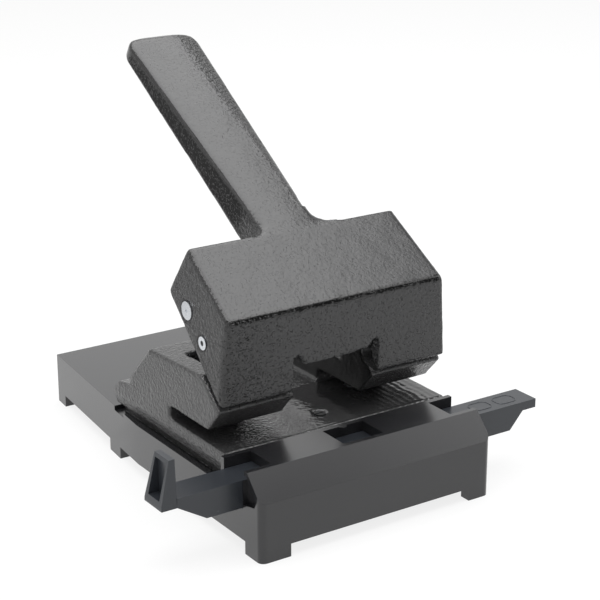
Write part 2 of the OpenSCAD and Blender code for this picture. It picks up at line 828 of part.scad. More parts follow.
// Least distance between points of neighbouring turns
coil_gap = min([for (i = [0 : spring_steps - spring_rings]) for (j = [0 : spring_sides - 1])
    for (k = [0 : spring_sides - 1]) norm(coil_point(i, j) - coil_point(i + spring_rings, k))]);
echo("least gap between turns", coil_gap);

module coil_spring(x) color("#9ea2a6") {
    points = [for (i = [0 : spring_steps]) for (j = [0 : spring_sides - 1]) coil_point(i, j)];
    skin = [for (i = [0 : spring_steps - 1]) for (j = [0 : spring_sides - 1])
        let(k = (j + 1) % spring_sides, p = i * spring_sides, q = (i + 1) * spring_sides)
        each [[p + j, p + k, q + k], [p + j, q + k, q + j]]];
    last = spring_steps * spring_sides;
    start_cap = [for (j = [1 : spring_sides - 2]) [0, j + 1, j]];
    end_cap = [for (j = [1 : spring_sides - 2]) [last, last + j, last + j + 1]];
    translate([x, punch_y, 0]) polyhedron(points, concat(skin, start_cap, end_cap));
}

base_tray();
chip_cover();
gauge_spring();
gauge_bar();
frame();
die(-hole_pitch / 2);  // die_left
die(hole_pitch / 2);  // die_right
guide_bush(-hole_pitch / 2);  // guide_bush_left
guide_bush(hole_pitch / 2);  // guide_bush_right
pivot_bush(-arm_in - lug_t);  // pivot_bush_left
pivot_bush(arm_in);  // pivot_bush_right
base_screws();
base_washers();
front_screw();
lever();
pivot_pin();
pusher_shaft();
shaft_clips();
punch(-hole_pitch / 2);  // punch_left
punch(hole_pitch / 2);  // punch_right
collar(-hole_pitch / 2);  // collar_left
collar(hole_pitch / 2);  // collar_right
cross_pin(-hole_pitch / 2);  // cross_pin_left
cross_pin(hole_pitch / 2);  // cross_pin_right
coil_spring(-hole_pitch / 2);  // spring_left
coil_spring(hole_pitch / 2);  // spring_right
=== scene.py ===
import bpy, bmesh, math
from mathutils import Vector, Matrix, noise


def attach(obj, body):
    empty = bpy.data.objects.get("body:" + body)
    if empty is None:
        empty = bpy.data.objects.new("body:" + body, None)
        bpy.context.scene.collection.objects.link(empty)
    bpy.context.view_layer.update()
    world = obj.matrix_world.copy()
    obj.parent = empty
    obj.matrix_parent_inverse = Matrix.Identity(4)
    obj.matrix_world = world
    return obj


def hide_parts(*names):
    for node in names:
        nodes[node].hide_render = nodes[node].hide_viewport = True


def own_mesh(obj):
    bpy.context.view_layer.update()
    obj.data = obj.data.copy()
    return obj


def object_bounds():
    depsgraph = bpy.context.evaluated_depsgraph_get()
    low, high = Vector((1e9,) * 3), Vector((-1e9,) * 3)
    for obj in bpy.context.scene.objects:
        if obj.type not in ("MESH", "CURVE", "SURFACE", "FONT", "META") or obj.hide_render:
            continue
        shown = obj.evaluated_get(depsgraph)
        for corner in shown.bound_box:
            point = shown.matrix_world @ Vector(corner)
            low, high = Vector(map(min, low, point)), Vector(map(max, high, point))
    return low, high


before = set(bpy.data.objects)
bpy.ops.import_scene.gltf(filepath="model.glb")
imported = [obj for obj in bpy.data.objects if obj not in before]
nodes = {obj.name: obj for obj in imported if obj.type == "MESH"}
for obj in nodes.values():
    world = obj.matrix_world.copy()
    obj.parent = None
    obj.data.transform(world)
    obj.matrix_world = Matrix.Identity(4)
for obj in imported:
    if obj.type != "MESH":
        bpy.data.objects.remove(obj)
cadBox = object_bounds()
scene = bpy.context.scene
print("frame loaded:", len(nodes), "nodes")

mm = 0.001
closeMerge = 1e-6     # metres, joins the corners of a new solid
cadMerge = 2e-6       # metres, joins the corners of a solid from the CAD
sides = ("left", "right")


# Places and sizes taken from the frame, in mm
def nodeBox(node):
    points = [v.co / mm for v in nodes[node].data.vertices]
    return [Vector([limit(p[i] for p in points) for i in range(3)]) for limit in (min, max)]


# Place (y, z) and radius of a round pin that lies across
def pinEnd(node):
    low, high = nodeBox(node)
    middle = (low + high) / 2
    return (middle.y, middle.z), (high.z - low.z) / 2


pinEnds = [pinEnd(node) for node in ("pivot_pin", "pusher_shaft")]
bedZ = nodeBox("die_left")[1].z      # the dies lie flush with the bed
trayLow = nodeBox("base_tray")[0]


# Small helpers for making and finishing meshes
def newObject(name, mesh):
    piece = bpy.data.objects.new(name, mesh)
    scene.collection.objects.link(piece)
    return piece


def meshFrom(name, verts, faces, scale=mm):
    mesh = bpy.data.meshes.new(name)
    mesh.from_pydata([tuple(c * scale for c in v) for v in verts], [], faces)
    mesh.update()
    return mesh


def tidyMesh(piece, merge=closeMerge, dissolve=None):
    bm = bmesh.new()
    bm.from_mesh(piece.data)
    bmesh.ops.remove_doubles(bm, verts=bm.verts, dist=merge)
    if dissolve:
        bmesh.ops.dissolve_limit(bm, angle_limit=math.radians(dissolve), verts=bm.verts, edges=bm.edges)
    bmesh.ops.recalc_face_normals(bm, faces=bm.faces)
    bm.to_mesh(piece.data)
    bm.free()
    return piece


def makePiece(name, verts, faces):
    return tidyMesh(newObject(name, meshFrom(name, verts, faces)))


# A solid between two matching rings of points
def solidBetween(name, one, two):
    n = len(one)
    faces = [tuple(range(n)), tuple(range(2 * n - 1, n - 1, -1))]
    faces += [(i, n + i, n + (i + 1) % n, (i + 1) % n) for i in range(n)]
    return makePiece(name, one + two, faces)


def bake(piece):
    graph = bpy.context.evaluated_depsgraph_get()
    mesh = bpy.data.meshes.new_from_object(piece.evaluated_get(graph), depsgraph=graph)
    old = piece.data
    piece.modifiers.clear()
    piece.data = mesh
    bpy.data.meshes.remove(old)
    return piece


# Adds one modifier with these settings and bakes it in
def modified(piece, kind, **settings):
    mod = piece.modifiers.new(kind.lower(), kind)
    for key, value in settings.items():
        setattr(mod, key, value)
    return bake(piece)


def cutAway(piece, tool):
    modified(piece, "BOOLEAN", operation="DIFFERENCE", solver="EXACT", object=tool)
    bpy.data.objects.remove(tool, do_unlink=True)
    return piece


def joinPieces(name, pieces):
    bm = bmesh.new()
    for piece in pieces:
        bm.from_mesh(piece.data)
    mesh = bpy.data.meshes.new(name)
    bm.to_mesh(mesh)
    bm.free()
    for piece in pieces:
        bpy.data.objects.remove(piece, do_unlink=True)
    return newObject(name, mesh)


# Bevels only the edges that pick(a, b) gives a radius in mm, by bevel weight
def bevelEdges(piece, pick, widest, segments=4):
    mesh = piece.data
    weight = mesh.attributes.new("bevel_weight_edge", "FLOAT", "EDGE")
    for edge in mesh.edges:
        a, b = (mesh.vertices[v].co / mm for v in edge.vertices)
        weight.data[edge.index].value = min(1.0, pick(a, b) / widest)
    return modified(piece, "BEVEL", width=widest * mm, segments=segments, limit_method="WEIGHT",
                    use_clamp_overlap=True)


def shadeSmooth(piece, angle=32):
    mesh = piece.data
    mesh.polygons.foreach_set("use_smooth", [True] * len(mesh.polygons))
    bm = bmesh.new()
    bm.from_mesh(mesh)
    for edge in bm.edges:
        edge.smooth = len(edge.link_faces) != 2 or edge.calc_face_angle(0) < math.radians(angle)
    bm.to_mesh(mesh)
    bm.free()
    return piece


# Small radii on every sharp edge, with the large faces shaded flat
def softBevel(piece, width):
    modified(piece, "BEVEL", width=width * mm, segments=2, limit_method="ANGLE", angle_limit=math.radians(35),
             use_clamp_overlap=True)
    shadeSmooth(piece)
    return modified(piece, "WEIGHTED_NORMAL", keep_sharp=True, weight=100)


# Turns a built-up solid into one cast skin: voxel remesh, then smoothing that rounds its edges
def castRemesh(piece, voxel, rounds):
    modified(piece, "REMESH", mode="VOXEL", voxel_size=voxel * mm, use_smooth_shade=True)
    modified(piece, "SMOOTH", factor=0.5, iterations=rounds)
    piece.data.polygons.foreach_set("use_smooth", [True] * len(piece.data.polygons))
    return piece


# Moves each vertex by what shift(place in mm, normal) gives, in mm
def pushVertices(piece, shift):
    mesh = piece.data
    normals = [v.normal.copy() for v in mesh.vertices]
    for v, n in zip(mesh.vertices, normals):
        v.co = v.co + shift(v.co / mm, n) * mm
    mesh.update()
    return piece


# Gives each vertex a share from 0 to 1 by rule(place in mm, normal), which a material reads
def setShare(piece, name, rule):
    mesh = piece.data
    shares = [rule(v.co / mm, v.normal) for v in mesh.vertices]
    mesh.attributes.new(name, "FLOAT", "POINT").data.foreach_set("value", shares)


def nodeCopy(node, name, dissolve=2.0):
    piece = newObject(name, nodes[node].data.copy())
    piece.data.materials.clear()
    return tidyMesh(piece, cadMerge, dissolve)


def setMaterial(piece, material):
    piece.data.materials.clear()
    piece.data.materials.append(material)
    piece.data.polygons.foreach_set("material_index", [0] * len(piece.data.polygons))
    return piece


def blend(a, b, t):
    return a + (b - a) * t


def smoothStep(a, b, t):
    t = min(1.0, max(0.0, (t - a) / (b - a)))
    return t * t * (3 - 2 * t)


# Unevenness of a casting in mm: each row has the lumps per mm, their height and where they start
def unevenness(p, rows):
    return sum(noise.noise(p * rate + Vector(start)) * high for rate, high, start in rows)


# Small helpers for shader and geometry nodes: a number or colour is set, another node's output is linked
def feed(tree, socket, value):
    if isinstance(value, bpy.types.NodeSocket):
        tree.links.new(value, socket)
    else:
        socket.default_value = (*value, 1) if socket.type == "RGBA" else value


def feedAll(tree, node, inputs):
    for name, value in inputs.items():
        feed(tree, node.inputs[name], value)
    return node


def addNode(tree, kind, inputs, **settings):
    node = tree.nodes.new(kind)
    for key, value in settings.items():
        setattr(node, key, value)
    return feedAll(tree, node, inputs)


# A node group with its inputs as (kind, value) and its outputs as kinds; its output node is added at the end
def newGroup(name, treeKind, inputs, outputs):
    tree = bpy.data.node_groups.new(name, treeKind)
    for label, (kind, value) in inputs.items():
        socket = tree.interface.new_socket(name=label, in_out="INPUT", socket_type="NodeSocket" + kind)
        if value is not None:
            socket.default_value = value
    for label, kind in outputs.items():
        tree.interface.new_socket(name=label, in_out="OUTPUT", socket_type="NodeSocket" + kind)
    return tree, tree.nodes.new("NodeGroupInput").outputs


def mathNode(tree, operation, a, b, clamp=False):
    return addNode(tree, "ShaderNodeMath", {0: a, 1: b}, operation=operation, use_clamp=clamp).outputs[0]


def noiseNode(tree, vector, scale, detail, rough):
    values = {"Vector": vector, "Scale": scale, "Detail": detail, "Roughness": rough}
    return addNode(tree, "ShaderNodeTexNoise", values).outputs["Fac"]


def mixNode(tree, dataType, socketType, factor, a, b):
    node = addNode(tree, "ShaderNodeMix", {"Factor": factor}, data_type=dataType)
    for name, value in (("A", a), ("B", b)):
        feed(tree, [s for s in node.inputs if s.name == name and s.type == socketType][0], value)
    return [s for s in node.outputs if s.type == socketType][0]


def mixColour(tree, factor, a, b):
    return mixNode(tree, "RGBA", "RGBA", factor, a, b)


def mixValue(tree, factor, a, b):
    return mixNode(tree, "FLOAT", "VALUE", factor, a, b)


def bumpNode(tree, height, strength, distance):
    values = {"Strength": strength, "Distance": distance * mm, "Height": height}
    return addNode(tree, "ShaderNodeBump", values).outputs[0]


def mapRange(tree, value, limits):
    values = {"Value": value, "To Min": limits[0], "To Max": limits[1]}
    return addNode(tree, "ShaderNodeMapRange", values).outputs["Result"]


# Enamel over a casting: rounded lumps, small pits and slow waves
castForm = {"lumpSoft": 0.7, "lumpLift": -0.3,
            "waveScale": 0.5, "waveDetail": 2.5, "waveRough": 0.55, "waveLift": 1.3,
            "pitDetail": 1.0, "pitRough": 0.4, "pitLevel": 0.76,
            "pitReach": 0.4, "pitSteep": 14.0, "pitDeep": 0.7,
            "rippleDetail": 2.0, "rippleRough": 0.55,
            "cloudScale": 18.0, "cloudDetail": 3.0, "cloudRough": 0.5}


def castGroup():
    form = castForm
    inputs = {"Vector": ("Vector", None), "Lump Scale": ("Float", 420.0), "Pit Scale": ("Float", 700.0),
              "Pit Share": ("Float", 0.3)}
    outputs = {"Height": "Float", "Pits": "Float", "Cloud": "Float"}
    tree, given = newGroup("castEnamelSkin", "ShaderNodeTree", inputs, outputs)
    vector = given["Vector"]
    values = {"Smoothness": form["lumpSoft"], "Vector": vector, "Scale": given["Lump Scale"]}
    cells = addNode(tree, "ShaderNodeTexVoronoi", values, feature="SMOOTH_F1")
    lumps = mathNode(tree, "MULTIPLY", cells.outputs["Distance"], form["lumpLift"])
    waveScale = mathNode(tree, "MULTIPLY", given["Lump Scale"], form["waveScale"])
    waves = noiseNode(tree, vector, waveScale, form["waveDetail"], form["waveRough"])
    raised = mathNode(tree, "ADD", lumps, mathNode(tree, "MULTIPLY", waves, form["waveLift"]))
    pitNoise = noiseNode(tree, vector, given["Pit Scale"], form["pitDetail"], form["pitRough"])
    reach = mathNode(tree, "MULTIPLY", given["Pit Share"], form["pitReach"])
    over = mathNode(tree, "SUBTRACT", pitNoise, mathNode(tree, "SUBTRACT", form["pitLevel"], reach))
    pits = mathNode(tree, "MULTIPLY", over, form["pitSteep"], clamp=True)
    height = mathNode(tree, "SUBTRACT", raised, mathNode(tree, "MULTIPLY", pits, form["pitDeep"]))
    cloud = noiseNode(tree, vector, form["cloudScale"], form["cloudDetail"], form["cloudRough"])
    addNode(tree, "NodeGroupOutput", {"Height": height, "Pits": pits, "Cloud": cloud})
    return tree


# Moulded plastic: fine spark texture, slow clouding and a few dust specks
plasticForm = {"grainDetail": 2.0, "grainRough": 0.6, "dustScale": 160.0, "dustSize": 0.075,
               "rareScale": 60.0, "rareDetail": 1.0, "rareRough": 0.5, "rareLevel": 0.86, "rareReach": 0.3,
               "cloudScale": 14.0, "cloudDetail": 4.0, "cloudRough": 0.55}


def plasticGroup():
    form = plasticForm
    inputs = {"Vector": ("Vector", None), "Grain Scale": ("Float", 1500.0), "Dust Share": ("Float", 0.5)}
    outputs = {"Height": "Float", "Dust": "Float", "Cloud": "Float"}
    tree, given = newGroup("mouldedGrain", "ShaderNodeTree", inputs, outputs)
    vector = given["Vector"]
    grain = noiseNode(tree, vector, given["Grain Scale"], form["grainDetail"], form["grainRough"])
    dots = addNode(tree, "ShaderNodeTexVoronoi", {"Scale": form["dustScale"], "Vector": vector})
    near = mathNode(tree, "LESS_THAN", dots.outputs["Distance"], form["dustSize"])
    reach = mathNode(tree, "MULTIPLY", given["Dust Share"], form["rareReach"])
    patches = noiseNode(tree, vector, form["rareScale"], form["rareDetail"], form["rareRough"])
    rare = mathNode(tree, "GREATER_THAN", patches, mathNode(tree, "SUBTRACT", form["rareLevel"], reach))
    cloud = noiseNode(tree, vector, form["cloudScale"], form["cloudDetail"], form["cloudRough"])
    dust = mathNode(tree, "MULTIPLY", near, rare)
    addNode(tree, "NodeGroupOutput", {"Height": grain, "Dust": dust, "Cloud": cloud})
    return tree


castSkin = castGroup()
plasticGrain = plasticGroup()


def freshTree(owner):
    owner.use_nodes = True
    owner.node_tree.nodes.clear()
    return owner.node_tree


def newMaterial(name):
    material = bpy.data.materials.new(name)
    tree = freshTree(material)
    shader = tree.nodes.new("ShaderNodeBsdfPrincipled")
    addNode(tree, "ShaderNodeOutputMaterial", {"Surface": shader.outputs[0]})
    place = tree.nodes.new("ShaderNodeTexCoord").outputs["Object"]
    return material, tree, shader, place


def skinNode(tree, group, place, look, keys):
    values = {key: look[key] for key in keys}
    return addNode(tree, "ShaderNodeGroup", {"Vector": place, **values}, node_tree=group).outputs


# Reads calmShare, where the enamel has run smooth, and a second share that paints shade in by turning the
# colour to the dark pit colour
def castMaterial(name, look):
    material, tree, shader, place = newMaterial(name)
    skin = skinNode(tree, castSkin, place, look, ("Lump Scale", "Pit Scale", "Pit Share"))
    # deep carries the painted-shade share
    calm, deep = (addNode(tree, "ShaderNodeAttribute", {}, attribute_name=share).outputs["Fac"]
                  for share in ("calmShare", "paintedShadeShare"))
    pits = mathNode(tree, "MULTIPLY", skin["Pits"], mathNode(tree, "SUBTRACT", 1.0, calm))
    colour = mixColour(tree, skin["Cloud"], look["dark"], look["light"])
    # Painted shade: the colour goes to the dark pit colour in the pits and wherever the painted-shade share
    # is high
    colour = mixColour(tree, mathNode(tree, "MAXIMUM", pits, deep), colour, look["pitAndShade"])
    rough = mixValue(tree, calm, mapRange(tree, skin["Cloud"], look["rough"]), look["calmRough"])
    rough = mixValue(tree, deep, rough, look["paintedShadeRough"])
    ripples = noiseNode(tree, place, look["calmWave"], castForm["rippleDetail"], castForm["rippleRough"])
    height = mixValue(tree, calm, skin["Height"], mathNode(tree, "MULTIPLY", ripples, look["calmLift"]))
    feedAll(tree, shader, {"Base Color": colour, "Roughness": rough, "Specular IOR Level": look["specular"],
                           "Normal": bumpNode(tree, height, look["bump"], look["depth"])})
    return material


def plasticMaterial(name, look):
    material, tree, shader, place = newMaterial(name)
    skin = skinNode(tree, plasticGrain, place, look, ("Grain Scale", "Dust Share"))
    colour = mixColour(tree, skin["Cloud"], look["dark"], look["light"])
    colour = mixColour(tree, skin["Dust"], colour, look["dust"])
    feedAll(tree, shader, {"Base Color": colour, "Roughness": mapRange(tree, skin["Cloud"], look["rough"]),
                           "Normal": bumpNode(tree, skin["Height"], look["bump"], look["depth"]),
                           "Specular IOR Level": look["specular"],
                           "Coat Weight": look["coat"], "Coat Roughness": look["coatRough"]})
    return material


def metalMaterial(name, look):
    material, tree, shader, place = newMaterial(name)
    grain = noiseNode(tree, place, look["scale"], *look["grain"])
    cloud = noiseNode(tree, place, look["scale"] * look["cloudShare"], *look["cloud"])
    feedAll(tree, shader, {"Base Color": mixColour(tree, cloud, look["dark"], look["light"]),
                           "Roughness": mapRange(tree, grain, look["rough"]), "Metallic": look["metal"],
                           "Normal": bumpNode(tree, grain, look["bump"], look["depth"])})
    return material


# Each look's pit colour also serves as its painted shade colour
leverLook = {"Lump Scale": 1000.0, "Pit Scale": 900.0, "Pit Share": 0.4,
             "dark": (0.021, 0.021, 0.0218), "light": (0.029, 0.029, 0.0296), "pitAndShade": (0.006, 0.006, 0.006),
             "rough": (0.2, 0.28), "bump": 1.0, "depth": 0.8, "specular": 0.5,
             "calmRough": 0.24, "calmWave": 700.0, "calmLift": 0.14, "paintedShadeRough": 0.1}
frameLook = {"Lump Scale": 1150.0, "Pit Scale": 900.0, "Pit Share": 0.3,
             "dark": (0.026, 0.026, 0.0265), "light": (0.036, 0.036, 0.0366), "pitAndShade": (0.006, 0.006, 0.006),
             "rough": (0.18, 0.26), "bump": 1.0, "depth": 0.5, "specular": 0.66,
             "calmRough": 0.07, "calmWave": 240.0, "calmLift": 0.4, "paintedShadeRough": 0.16}
trayLook = {"Grain Scale": 1400.0, "Dust Share": 0.35,
            "dark": (0.009, 0.0091, 0.0102), "light": (0.014, 0.0141, 0.0158), "dust": (0.16, 0.16, 0.17),
            "rough": (0.2, 0.3), "bump": 0.12, "depth": 0.05, "specular": 0.45,
            "coat": 0.45, "coatRough": 0.2}
gaugeLook = {"Grain Scale": 1400.0, "Dust Share": 0.7,
             "dark": (0.017, 0.0195, 0.0235), "light": (0.025, 0.0285, 0.0345), "dust": (0.25, 0.26, 0.28),
             "rough": (0.28, 0.4), "bump": 0.1, "depth": 0.04, "specular": 0.5,
             "coat": 0.0, "coatRough": 0.2}
coverLook = dict(trayLook, rough=(0.38, 0.5))
metalLook = {"metal": 1.0, "depth": 0.02, "bump": 0.4, "cloudShare": 0.12,
             "grain": (4.0, 0.6), "cloud": (3.0, 0.5)}      # detail and roughness of the two noises
zincLook = dict(metalLook, scale=900.0, rough=(0.18, 0.34), dark=(0.55, 0.57, 0.6), light=(0.72, 0.74, 0.76))
steelLook = dict(metalLook, scale=1600.0, rough=(0.22, 0.4), dark=(0.4, 0.41, 0.43), light=(0.55, 0.56, 0.58))
wireLook = dict(metalLook, scale=1200.0, rough=(0.2, 0.35), dark=(0.32, 0.33, 0.35), light=(0.5, 0.51, 0.53),
                depth=0.01)
blackLook = dict(metalLook, scale=900.0, rough=(0.3, 0.5), dark=(0.03, 0.03, 0.031),
                 light=(0.05, 0.05, 0.052), metal=0.6)
bronzeLook = dict(metalLook, scale=1400.0, rough=(0.3, 0.45), dark=(0.4, 0.27, 0.12),
                  light=(0.55, 0.38, 0.18))

castLever = castMaterial("castLeverEnamel", leverLook)
castFrame = castMaterial("castFrameEnamel", frameLook)
trayPlastic = plasticMaterial("trayPlastic", trayLook)
gaugePlastic = plasticMaterial("gaugePlastic", gaugeLook)
coverPlastic = plasticMaterial("coverPlastic", coverLook)
zinc = metalMaterial("brightZinc", zincLook)
machined = metalMaterial("machinedSteel", steelLook)
springSteel = metalMaterial("springSteel", wireLook)
blackened = metalMaterial("blackenedScrew", blackLook)
bronze = metalMaterial("plainBronze", bronzeLook)
print("materials made")


# Lever: hollow head and handle, joined into one casting
lever = {
    # Lengths in mm, angles in degrees; an At or Turn pair holds the limits where a share grows from 0 to 1
    # Head: ridge B, from there up the slope to A and down the front to C, and the back from A to D
    "headB": (-78.574, 104.0), "topLong": 46.8, "topSlope": 32.7, "faceHigh": 42.6, "faceLean": 1.9,
    "backLong": 29.1, "backLean": -1.4, "halfWide": 60.8, "draft": 0.0865, "wall": 6.0, "hollowDeep": 60,
    "ridgeRound": 1.6, "lowRoundC": 1.0, "backRound": 1.4, "sideRidge": 2.0, "sideRound": 1.4,
    "leftCorner": 3.6, "rightCorner": 1.3,
    # Opening in the front face, with its ragged tongue as (x, z) points
    "cutHalf": 24.6, "cutLow": 55, "cutFromTo": (-84, -70), "notchWide": 4.4, "notchTop": 79.7,
    "tongue": [(-19.9, 76.0), (-18.2, 74.8), (-8, 74.4), (6, 74.7), (17.7, 75.6), (20.0, 76.8)],
    # Handle from root to tip, with the places of its sections up the slope
    "rootHalf": 15.6, "tipHalf": 21.0, "tipShift": 0.4, "tipAt": 193.8, "rootThick": 20.6, "tipThick": 10.6,
    "topDrop": 5.0, "crown": 0.4, "tipCrown": 1.0, "topRound": 2.2, "lowRound": 1.4, "roundShare": 0.9,
    "taperFrom": 44, "stations": [34, 46, 60, 76, 92, 108, 124, 140, 156, 170, 178],
    "tipCorner": 8.5, "tipTurns": (0, 15, 30, 42, 52, 61, 69, 76, 82, 87), "cornerShare": 0.98,
    "endRound": 3.6, "endThin": 0.02,
    # Falling right edge of the handle
    "fallFrom": 40, "fallWiden": 60, "fallRoot": 5.0, "fallTip": 15.0, "fallDeep": 1.6,
    # Blends at the handle's root, and the zone around them that is smoothed
    "filletLeft": 5.0, "filletRight": 12.5, "filletIn": 2.5, "filletBack": 3.0, "filletThin": 4,
    "filletSunk": 0.05, "filletSlope": 0.035, "filletFall": 2.6,
    "rootRounds": 10, "zoneBeside": 7, "zoneBelow": 4, "zoneBeyond": 9, "zoneDeep": 9,
    # Cast skin
    "voxel": 0.95, "softenRounds": 4, "lumps": ((0.5, 0.04, (0, 0, 0)), (0.09, 0.1, (7, 3, 1))),
    "headGrow": 0.9, "growAt": (40, 58), "growPast": 1, "cadHalf": 60.5, "pinSeat": 0.3, "pinRim": 0.8,
    # Smooth enamel on the top, the handle's left side and the right of the front face
    "topCalm": 0.93, "topTurn": (0.6, 0.9), "sideCalm": 0.9, "sideCalmAt": (52, 72), "sideFacing": 0.3,
    "frontCalm": 0.5, "frontTurn": (0.7, 0.95), "frontAt": (-58, -20), "fallRough": 2.5,
    # Painted shade, a darker colour, on the handle's left side, its falling edge, the ridge and the top's
    # left edge
    "sideShadeAt": (50, 70), "sideShadeTurn": (-0.4, -0.8), "bandShade": 0.9, "bandAt": (0.1, 0.8),
    "ridgeAt": (2.6, 1.3), "edgeAt": (1.7, 0.9), "edgeTurn": (0.1, 0.3), "edgePast": 2}
slope = math.radians(lever["topSlope"])
upSlope = Vector((math.cos(slope), math.sin(slope)))
outSlope = Vector((-math.sin(slope), math.cos(slope)))
headB = Vector(lever["headB"])
headA = headB + upSlope * lever["topLong"]
headC = headB + Vector((lever["faceLean"], -lever["faceHigh"]))
backAngle = slope - math.pi / 2 + math.radians(lever["backLean"])
headD = headA + Vector((math.cos(backAngle), math.sin(backAngle))) * lever["backLong"]


# Point x across, u up the slope from the ridge and h out of the top face
def onHead(x, u, h):
    p = headB + upSlope * u + outSlope * h
    return (x, p.x, p.y)


# How far a point is up the slope and out of the top face, and how squarely a normal leaves that face
def upHandle(p):
    return (Vector((p.y, p.z)) - headB).dot(upSlope)


def outOfTop(p):
    return (Vector((p.y, p.z)) - headB).dot(outSlope)


def facesTop(n):
    return n.y * outSlope.x + n.z * outSlope.y


def headHalf(z, inset=0.0):
    return lever["halfWide"] - inset + (headB.y - z) * lever["draft"]


# The head's left and right ring over the same corners (y, z)
def headRings(corners, inset=0.0):
    return [[(side * headHalf(p.y, inset), p.x, p.y) for p in corners] for side in (-1, 1)]


def insetLine(p, q, t):
    d = (q - p).normalized()
    n = Vector((-d.y, d.x))
    return p + n * t, d


def crossing(one, two):
    (p, d), (q, e) = one, two
    w = q - p
    return p + d * ((w.x * e.y - w.y * e.x) / (d.x * e.y - d.y * e.x))


def headSolid():
    head = solidBetween("headSolid", *headRings([headA, headB, headC, headD]))

    def radius(a, b):
        across = abs(a.x - b.x) > lever["halfWide"]
        atB = min((Vector((v.y, v.z)) - headB).length for v in (a, b)) < 1
        atC = min((Vector((v.y, v.z)) - headC).length for v in (a, b)) < 1
        if across:
            return lever["ridgeRound"] if atB else lever["lowRoundC"] if atC else lever["backRound"]
        if atB and atC:
            return lever["leftCorner"] if a.x < 0 else lever["rightCorner"]
        return lever["sideRidge"] if atB else lever["sideRound"]
    return bevelEdges(head, radius, lever["leftCorner"])


# The space inside the head, open below
def headHollow():
    wall, deep = lever["wall"], lever["hollowDeep"]
    ab = insetLine(headA, headB, wall)
    bc = insetLine(headB, headC, wall)
    da = insetLine(headD, headA, wall)
    inB, inA = crossing(ab, bc), crossing(da, ab)
    return solidBetween("headHollow", *headRings([inA, inB, inB + bc[1] * deep, inA - da[1] * deep], wall))


# The opening in the front face, with a round-topped notch at each end of the tongue
def tongueOpening():
    half, low, r = lever["cutHalf"], lever["cutLow"], lever["notchWide"] / 2
    arcZ = lever["notchTop"] - r
    turns = [math.radians(a) for a in range(0, 181, 20)]
    left = [(-half + r - r * math.cos(a), arcZ + r * math.sin(a)) for a in turns]
    right = [(-x, z) for x, z in reversed(left)]
    outline = [(-half, low)] + left + lever["tongue"] + right + [(half, low)]
    return solidBetween("tongueOpening", *([(x, y, z) for x, z in outline] for y in lever["cutFromTo"]))


# Section of the handle as (x, height) points: sharp below, rounder and slightly crowned above
def handleRing(half, low, high, crown):
    lowR = min(lever["lowRound"], (high - low) / 2 * lever["roundShare"])
    topR = min(lever["topRound"], (high - low) / 2 * lever["roundShare"])

    def corner(x, z, r, start):
        return [(x + r * math.cos(math.radians(start + a)), z + r * math.sin(math.radians(start + a)))
                for a in range(0, 91, 15)]
    flat = half - topR
    top = [(flat * s / 4, high + crown * (1 - (s / 4) ** 2)) for s in (3, 2, 1, 0, -1, -2, -3)]
    return (corner(-half + lowR, low + lowR, lowR, 180) + corner(half - lowR, low + lowR, lowR, 270)
            + corner(flat, high - topR, topR, 0) + top + corner(-flat, high - topR, topR, 90))


def handleSolid():
    tip, corner, endRound = lever["tipAt"], lever["tipCorner"], lever["endRound"]
    stations = lever["stations"] + [tip - corner * (1 - math.sin(math.radians(a))) for a in lever["tipTurns"]]
    verts = []
    for u in stations:
        t = min(1, max(0, (u - lever["taperFrom"]) / (tip - lever["taperFrom"])))
        half = blend(lever["rootHalf"], lever["tipHalf"], t)
        if u > tip - corner:
            half -= corner - math.sqrt(max(0, corner ** 2 - (u - tip + corner) ** 2)) * lever["cornerShare"]
        thick = blend(lever["rootThick"], lever["tipThick"], t)
        crown = blend(lever["crown"], lever["tipCrown"], t)
        middle = -lever["topDrop"] * t - thick / 2
        squeeze = math.sqrt(max(lever["endThin"], 1 - (max(0, u - tip + endRound) / endRound) ** 2))
        ring = handleRing(half, middle - thick / 2 * squeeze, middle + thick / 2 * squeeze - crown, crown)
        verts += [onHead(x + lever["tipShift"] * t, u, h) for x, h in ring]
    around = len(ring)
    last = len(verts) - around
    faces = [(i + j, i + (j + 1) % around, i + around + (j + 1) % around, i + around + j)
             for i in range(0, last, around) for j in range(around)]
    faces += [tuple(range(around))[::-1], tuple(last + j for j in range(around))]
    return makePiece("handleSolid", verts, faces)


# Concave blend in the plan of the handle's root, falling away from the top face on its outer side
def rootFillet(side, r):
    half, base = lever["rootHalf"], lever["topLong"]
    x0, u0 = half - lever["filletIn"], base - lever["filletBack"]
    turns = [math.radians(a) for a in range(0, 91, 10)]
    arc = [(half + r - r * math.cos(a), base + r - r * math.sin(a)) for a in turns]
    ring = [(x0, u0), (x0, base + r)] + arc + [(half + r, u0)]
    low, high = -lever["rootThick"] + lever["filletThin"], -lever["filletSunk"]

    def drop(x, u):
        outer = x > half - 0.01
        return lever["filletSlope"] * max(0, u - base) + lever["filletFall"] * max(0, (u - base) / r) * outer
    return solidBetween("rootFillet", [onHead(side * x, u, high - drop(x, u)) for x, u in ring],
                        [onHead(side * x, u, low) for x, u in ring])


# How far into the handle's falling right edge a point is, from 0 to 1
def rightFall(p):
    t = smoothStep(lever["fallWiden"], lever["tipAt"], upHandle(p))
    wide = blend(lever["fallRoot"], lever["fallTip"], t)
    half = blend(lever["rootHalf"], lever["tipHalf"], t)
    return min(1.0, max(0.0, (p.x - half + wide) / wide)) if t > 0 else 0.0


def nearRoot(p):
    reach = lever["filletRight"] if p.x > 0 else lever["filletLeft"]
    beside = abs(abs(p.x) - lever["rootHalf"]) < lever["zoneBeside"]
    along = -lever["zoneBelow"] < upHandle(p) - lever["topLong"] < reach + lever["zoneBeyond"]
    return beside and along and outOfTop(p) > -lever["zoneDeep"]


